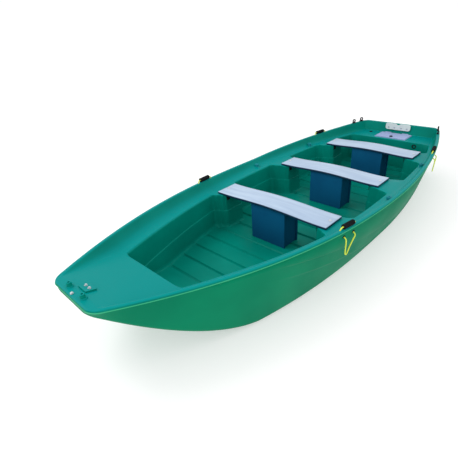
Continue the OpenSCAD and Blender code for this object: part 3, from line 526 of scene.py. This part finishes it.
def face_outwards(obj):
    """Turns a closed mesh's faces round if the volume that they enclose is negative."""
    shape = bmesh.new()
    shape.from_mesh(obj.data)
    if shape.calc_volume(signed=True) < 0:
        bmesh.ops.reverse_faces(shape, faces=shape.faces)
        shape.to_mesh(obj.data)
    shape.free()


def board_under(b):
    """A board is level over its pillars and rises by a squared parabola in between."""
    return lambda y: LEDGE_H + BOARD_CROWN * (1 - np.minimum(1, np.abs(y) / pillar_y(b)) ** 2) ** 2


def benches(finishes):
    """Three boards, each over the front and rear panels of its box."""
    for b, bench in enumerate(BENCHES):
        under = board_under(b)
        x = BENCH_X[b]
        crowned_bar(
            f"board_{bench}", x - BOARD_W / 2, x + BOARD_W / 2, board_end(b), under,
            lambda y: under(y) + BOARD_T, 0.0055, finishes["board"],
            [f"bench_board_{bench}"],
        )
        for end, way in (("front", 1), ("rear", -1)):
            middle = x + way * (BOX_D - PANEL_T) / 2
            crowned_bar(
                f"box_{end}_{bench}", middle - PANEL_T / 2, middle + PANEL_T / 2, BOX_W / 2,
                lambda y: FLOOR_H + 0 * y, lambda y: under(y) - GAP, 0.003,
                finishes["box_navy"], [f"pedestal_{end}_{bench}"],
            )


# ---------------------------------------------------------------- handle ropes
ROPE_ROUTE = 0.001 * np.array([
    [2, 0, 0], [30, 0, 0], [60, 0, 0], [76, 0, 0], [88, -1, -4], [96, -3, -13], [100, -5, -26],
    [99, -6, -40], [93, -6, -53], [82, -4, -61], [70, -1, -65], [62, 5, -68], [60, 14, -71],
    [60, 23, -77], [60, 28, -88], [60, 29, -102], [59, 29, -120], [57, 28, -142], [54, 27, -164],
    [50, 26, -182], [43, 25, -194], [33, 25, -199], [23, 25, -194], [14, 25, -181], [4, 26, -162],
    [-10, 27, -140], [-26, 28, -118], [-42, 29, -99], [-54, 29, -87], [-60, 24, -77], [-62, 15, -71],
    [-63, 5, -68], [-70, -1, -65], [-82, -4, -61], [-93, -6, -53], [-99, -6, -40], [-100, -5, -26],
    [-96, -3, -13], [-88, -1, -4], [-76, 0, 0], [-60, 0, 0], [-30, 0, 0], [-2, 0, 0],
])
LOOP_NARROW = 0.8        # the share of the route's width along the gunwale that is kept
ROPE_LAY, ROPE_STRANDS, ROPE_AROUND, ROPE_STEPS = 0.034, 3, 20, 8


def through(points, steps):
    """A Catmull-Rom curve through the points, each stretch cut into equal steps."""
    padded = np.concatenate([2 * points[:1] - points[1:2], points, 2 * points[-1:] - points[-2:-1]])
    p0, p1, p2, p3 = (padded[k:len(padded) - 3 + k, None] for k in range(4))
    t = (np.arange(steps) / steps)[None, :, None]
    curve = 0.5 * (
        2 * p1 + (p2 - p0) * t + (2 * p0 - 5 * p1 + 4 * p2 - p3) * t ** 2
        + (3 * p1 - p0 - 3 * p2 + p3) * t ** 3
    )
    return np.concatenate([curve.reshape(-1, 3), points[-1:]])


def handle_frame(x, side):
    """Where a grip's centre is, and the axes along the gunwale, outboard and up from it."""
    near = np.array([x - 0.050, x + 0.050])
    turn = math.atan(np.diff(rim_y(near))[0] / 0.100)
    pitch = math.atan(np.diff(rim_z(near))[0] / 0.100)
    here = np.array([x])
    centre = np.array([x, rim_y(here)[0] - HANDLE_IN, rim_z(here)[0] + GRIP_D / 2 + GAP])
    spin = Matrix.Rotation(turn, 3, "Z") @ Matrix.Rotation(-pitch, 3, "Y")
    axes = np.array(spin)
    mirror = np.array([1, side, 1])
    return centre * mirror, axes * mirror[:, None]


def handle_rope(name, x, side, finish):
    """A laid rope: a circle whose radius swells over each strand, turned steadily along
    the route, with a UV map that counts lays along it and turns round it."""
    centre, axes = handle_frame(x, side)
    path = through(ROPE_ROUTE * (LOOP_NARROW, 1, 1), ROPE_STEPS)
    along = np.concatenate([[0], np.cumsum(np.linalg.norm(np.diff(path, axis=0), axis=1))])
    ahead = np.gradient(path, axis=0)
    ahead /= np.linalg.norm(ahead, axis=1)[:, None]
    out = np.cross(ahead, [0, 1, 0])
    out /= np.linalg.norm(out, axis=1)[:, None]
    up = np.cross(out, ahead)
    a = np.linspace(0, 2 * math.pi, ROPE_AROUND, endpoint=False)[None, :]
    swell = np.abs(np.cos(ROPE_STRANDS / 2 * (a - 2 * math.pi * along[:, None] / ROPE_LAY)))
    r = (ROPE_D / 2 * (0.86 + 0.14 * swell ** 0.7))[..., None]
    rings = path[:, None] + r * (np.cos(a)[..., None] * out[:, None] + np.sin(a)[..., None] * up[:, None])
    n, m = rings.shape[:2]
    points = rings.reshape(-1, 3) @ axes.T + centre
    ring = np.arange(m)[None, :]
    uv = np.stack(np.broadcast_arrays(along[:, None] / ROPE_LAY, a / (2 * math.pi)), axis=-1)
    obj = piece(
        f"rope_{name}", points, [grid_quads(n, m, True), ring[:, ::-1], ring + (n - 1) * m],
        finish, [f"handle_rope_{name}"], sharp=80, uv=uv.reshape(-1, 2),
    )
    face_outwards(obj)


# ---------------------------------------------------------------- finishes
def linear(colour):
    """A colour written as six hex digits, as linear red, green, blue and one."""
    parts = [int(colour[k:k + 2], 16) / 255 for k in (0, 2, 4)]
    return [c / 12.92 if c <= 0.04045 else ((c + 0.055) / 1.055) ** 2.4 for c in parts] + [1.0]


def blank_finish(name):
    """A new material, with what makes and joins its nodes, and its Principled shader."""
    finish = bpy.data.materials.new(name)
    finish.use_nodes = True
    tree = finish.node_tree
    return finish, tree.nodes.new, tree.links.new, tree.nodes["Principled BSDF"]


def add_bump(node, link, shader, height, strength, distance):
    """Feeds a height to the shader's normal through a Bump node."""
    bump = node("ShaderNodeBump")
    bump.inputs["Strength"].default_value = strength
    bump.inputs["Distance"].default_value = distance
    link(height, bump.inputs["Height"])
    link(bump.outputs["Normal"], shader.inputs["Normal"])


def upward_share(node, link, low, high):
    """How far a face looks up: a Map Range of the upright part of its normal."""
    facing, part = node("ShaderNodeNewGeometry"), node("ShaderNodeSeparateXYZ")
    span = node("ShaderNodeMapRange")
    span.inputs["From Min"].default_value, span.inputs["From Max"].default_value = low, high
    link(facing.outputs["Normal"], part.inputs["Vector"])
    link(part.outputs["Z"], span.inputs["Value"])
    return span


def two_tone(node, link, value, places, colours):
    """A ramp between two colours, which start and end at two places along the value."""
    ramp = node("ShaderNodeValToRGB")
    for stop, place, colour in zip(ramp.color_ramp.elements, places, colours):
        stop.position = place
        stop.color = linear(colour)
    link(value, ramp.inputs["Fac"])
    return ramp.outputs["Color"]


def skin_group():
    """Moulded plastic: a slow drift between two colours and a fine orange-peel height."""
    group = bpy.data.node_groups.new("moulded_skin", "ShaderNodeTree")
    face = group.interface
    for name, kind, default in (
        ("Colour", "NodeSocketColor", (0.1, 0.4, 0.3, 1)), ("Shade", "NodeSocketColor", (0, 0.3, 0.2, 1)),
        ("Drift", "NodeSocketFloat", 3.0), ("Peel", "NodeSocketFloat", 260.0),
        ("Gloss", "NodeSocketFloat", 0.34),
    ):
        face.new_socket(name, in_out="INPUT", socket_type=kind).default_value = default
    for name, kind in (("Colour", "NodeSocketColor"), ("Roughness", "NodeSocketFloat"),
                       ("Height", "NodeSocketFloat")):
        face.new_socket(name, in_out="OUTPUT", socket_type=kind)
    node, link = group.nodes.new, group.links.new
    given, put = node("NodeGroupInput"), node("NodeGroupOutput")
    where = node("ShaderNodeTexCoord").outputs["Object"]
    slow, fine = node("ShaderNodeTexNoise"), node("ShaderNodeTexNoise")
    slow.inputs["Detail"].default_value = 5
    for tex, scale in ((slow, "Drift"), (fine, "Peel")):
        link(where, tex.inputs["Vector"])
        link(given.outputs[scale], tex.inputs["Scale"])
    spread = node("ShaderNodeMapRange")
    spread.inputs["From Min"].default_value, spread.inputs["From Max"].default_value = 0.35, 0.65
    link(slow.outputs["Fac"], spread.inputs["Value"])
    blend = node("ShaderNodeMix")
    blend.data_type = "RGBA"
    link(spread.outputs["Result"], blend.inputs["Factor"])
    link(given.outputs["Colour"], blend.inputs[6])
    link(given.outputs["Shade"], blend.inputs[7])
    rough = node("ShaderNodeMath")
    rough.operation = "MULTIPLY_ADD"
    link(spread.outputs["Result"], rough.inputs[0])
    rough.inputs[1].default_value = 0.12
    link(given.outputs["Gloss"], rough.inputs[2])
    link(blend.outputs[2], put.inputs["Colour"])
    link(rough.outputs["Value"], put.inputs["Roughness"])
    link(fine.outputs["Fac"], put.inputs["Height"])
    return group


PLASTIC_SHINE = 0.04


def plastic(name, colour, shade, drift=3.0, peel=260.0, gloss=0.34, lift=0.15, painted_sky_tint=None):
    """A moulded plastic. With a sky tint given, faces above about 0.3 m that look up take that colour
    instead, and ones that only lean up take a share of it: a painted sky reflection."""
    finish, node, link, shader = blank_finish(name)
    skin = node("ShaderNodeGroup")
    skin.node_tree = SKIN
    skin.inputs["Colour"].default_value, skin.inputs["Shade"].default_value = linear(colour), linear(shade)
    for socket, value in (("Drift", drift), ("Peel", peel), ("Gloss", gloss)):
        skin.inputs[socket].default_value = value
    tint = skin.outputs["Colour"]
    # Painted sky reflection: a lighter tint on high faces that look up
    if painted_sky_tint:
        span = upward_share(node, link, 0.35, 0.98)
        span.interpolation_type = "SMOOTHSTEP"
        high = node("ShaderNodeMapRange")
        place, spot = node("ShaderNodeTexCoord"), node("ShaderNodeSeparateXYZ")
        link(place.outputs["Object"], spot.inputs["Vector"])
        high.inputs["From Min"].default_value, high.inputs["From Max"].default_value = 0.28, 0.34
        link(spot.outputs["Z"], high.inputs["Value"])
        both = node("ShaderNodeMath")
        both.operation = "MULTIPLY"
        link(span.outputs["Result"], both.inputs[0])
        link(high.outputs["Result"], both.inputs[1])
        blend = node("ShaderNodeMix")
        blend.data_type = "RGBA"
        link(both.outputs["Value"], blend.inputs["Factor"])
        link(tint, blend.inputs[6])
        blend.inputs[7].default_value = linear(painted_sky_tint)
        tint = blend.outputs[2]
    link(tint, shader.inputs["Base Color"])
    link(skin.outputs["Roughness"], shader.inputs["Roughness"])
    add_bump(node, link, shader, skin.outputs["Height"], lift, 0.0006)
    shader.inputs["Specular IOR Level"].default_value = PLASTIC_SHINE
    return finish


def board_finish():
    """A board: grain drawn out along the board, pale with faint grey streaks where the face looks up,
    and dark blue wherever it looks sideways or down; the pale top is a painted sky reflection."""
    finish, node, link, shader = blank_finish("board_painted_sky_top")
    place, stretch, grain = node("ShaderNodeTexCoord"), node("ShaderNodeMapping"), node("ShaderNodeTexNoise")
    stretch.inputs["Scale"].default_value = (22, 1.8, 22)
    grain.inputs["Scale"].default_value, grain.inputs["Detail"].default_value = 1.4, 7
    link(place.outputs["Object"], stretch.inputs["Vector"])
    link(stretch.outputs["Vector"], grain.inputs["Vector"])
    # Painted sky reflection: the pale colour that faces looking up take
    pale = two_tone(node, link, grain.outputs["Fac"], (0.34, 0.68), ("9db2cc", "afc3d9"))
    span = upward_share(node, link, 0.35, 0.75)
    edge = node("ShaderNodeMix")
    edge.data_type = "RGBA"
    edge.inputs[6].default_value = linear("0e2c4c")
    link(span.outputs["Result"], edge.inputs["Factor"])
    link(pale, edge.inputs[7])
    link(edge.outputs[2], shader.inputs["Base Color"])
    add_bump(node, link, shader, grain.outputs["Fac"], 0.12, 0.0004)
    shader.inputs["Roughness"].default_value = 0.42
    return finish


def steel_finish():
    """Zinc-plated steel with a mottle in its roughness."""
    finish, node, link, shader = blank_finish("plated_steel")
    place, mottle, span = node("ShaderNodeTexCoord"), node("ShaderNodeTexNoise"), node("ShaderNodeMapRange")
    mottle.inputs["Scale"].default_value = 220
    span.inputs["To Min"].default_value, span.inputs["To Max"].default_value = 0.18, 0.42
    link(place.outputs["Object"], mottle.inputs["Vector"])
    link(mottle.outputs["Fac"], span.inputs["Value"])
    link(span.outputs["Result"], shader.inputs["Roughness"])
    shader.inputs["Base Color"].default_value = linear("d3d6da")
    shader.inputs["Metallic"].default_value = 1.0
    return finish


def rope_finish():
    """Fibres that run along each strand: fine lines across the rope's own map."""
    finish, node, link, shader = blank_finish("laid_rope")
    lay, fibre = node("ShaderNodeUVMap"), node("ShaderNodeTexNoise")
    lay.uv_map = "lay"
    stretch = node("ShaderNodeMapping")
    stretch.inputs["Scale"].default_value = (6, 34, 1)
    link(lay.outputs["UV"], stretch.inputs["Vector"])
    link(stretch.outputs["Vector"], fibre.inputs["Vector"])
    fibres = two_tone(node, link, fibre.outputs["Fac"], (0.3, 0.7), ("b9cf2a", "e6f25a"))
    link(fibres, shader.inputs["Base Color"])
    add_bump(node, link, shader, fibre.outputs["Fac"], 0.5, 0.0006)
    shader.inputs["Roughness"].default_value = 0.7
    return finish


def make_finishes():
    """The finish of each of the record's material slots, and of the painted highlight bead."""
    return {
        "hull_outer": plastic("hull_green", "007d59", "007353", gloss=0.36),
        # The liner's lighter teal on its high up-facing ledges and decks is a painted sky reflection
        "hull_inner": plastic("liner_green", "008677", "007a6c", gloss=0.32, painted_sky_tint="008784"),
        # Painted highlight: the pale green of the bright bead along the gunwale
        "edge": plastic("painted_highlight_green", "3fae80", "38a678"),
        "foam": plastic("cream_foam", "e8dfb8", "d8cfa4", peel=900, gloss=0.8, lift=0.5),
        "board": board_finish(),
        "box_navy": plastic("navy_panel", "0f5880", "0c4d74", gloss=0.38, peel=500),
        "steel": steel_finish(),
        "black_plastic": plastic("black_plastic", "17191b", "202326", gloss=0.45),
        "grip_rubber": plastic("grip_rubber", "15171a", "1e2124", gloss=0.62, peel=900, lift=0.5),
        "rope": rope_finish(),
        "socket_teal": plastic("socket_teal", "1f8f96", "177a84", gloss=0.34),
        "pad_white": plastic("pad_white", "e4ebea", "d6dfde", gloss=0.40, peel=600),
        "hatch_grey": plastic("hatch_grey", "a9b8dc", "9aa8cf", gloss=0.36, peel=500),
    }


# The foredeck's fittings are moulded in the liner's colour
FORE_FITTINGS = {"bow_plate": "hull_inner", "bow_bollards": "hull_inner"}


def dress_frame(finishes):
    """Gives every carried-over node the finish of its own slot in the record."""
    for part in frame["record"]["subparts"]:
        obj = frame["nodes"].get(part["node"])
        if obj is None:
            continue
        if not obj.material_slots:
            obj.data.materials.append(None)
        for holder in obj.material_slots:
            holder.material = finishes[FORE_FITTINGS.get(part["node"], part["material_slot"])]


# ---------------------------------------------------------------- studio
def studio():
    """A faintly glowing pale floor, a white world, a broad key light over the starboard bow
    and a soft fill over the port bow."""
    half = 60.0
    corners = [(-half, -half, 0), (half, -half, 0), (half, half, 0), (-half, half, 0)]
    mesh = bpy.data.meshes.new("floor")
    mesh.from_pydata(corners, [], [(0, 1, 2, 3)])
    floor = bpy.data.objects.new("floor", mesh)
    bpy.context.scene.collection.objects.link(floor)
    white = bpy.data.materials.new("floor_white")
    white.use_nodes = True
    shader = white.node_tree.nodes["Principled BSDF"]
    shader.inputs["Base Color"].default_value = (0.62, 0.62, 0.62, 1)
    shader.inputs["Emission Color"].default_value = (1, 1, 1, 1)
    shader.inputs["Emission Strength"].default_value = 0.42
    shader.inputs["Roughness"].default_value = 0.9
    mesh.materials.append(white)
    world = bpy.data.worlds.new("studio")
    world.use_nodes = True
    sky = world.node_tree.nodes["Background"]
    sky.inputs["Color"].default_value = (1, 1, 1, 1)
    sky.inputs["Strength"].default_value = 1.02
    bpy.context.scene.world = world
    for name, spot, power, size in (
        ("key", (2.6, -2.6, 4.4), 80, 2.2), ("fill", (3.6, 3.4, 2.6), 20, 3.0),
    ):
        data = bpy.data.lights.new(name, "AREA")
        data.energy, data.size = power, size
        lamp = bpy.data.objects.new(name, data)
        lamp.location = spot
        lamp.rotation_euler = (Vector((0, 0, 0.2)) - Vector(spot)).to_track_quat("-Z", "Y").to_euler()
        bpy.context.scene.collection.objects.link(lamp)
    bpy.context.scene.view_settings.view_transform = "Standard"


# ---------------------------------------------------------------- the boat
place_camera()
SKIN = skin_group()
FINISHES = make_finishes()
for way, side in (("port", 1), ("starboard", -1)):
    for end, where in zip(("fore", "aft"), HANDLE_X):
        handle_rope(f"{way}_{end}", where, side, FINISHES["rope"])
dress_frame(FINISHES)
hull_skin(FINISHES["hull_outer"])
liner_skin(FINISHES["hull_inner"])
# A painted highlight along the joint below the gunwale
painted_gunwale_highlight(FINISHES["edge"])
benches(FINISHES)
studio()
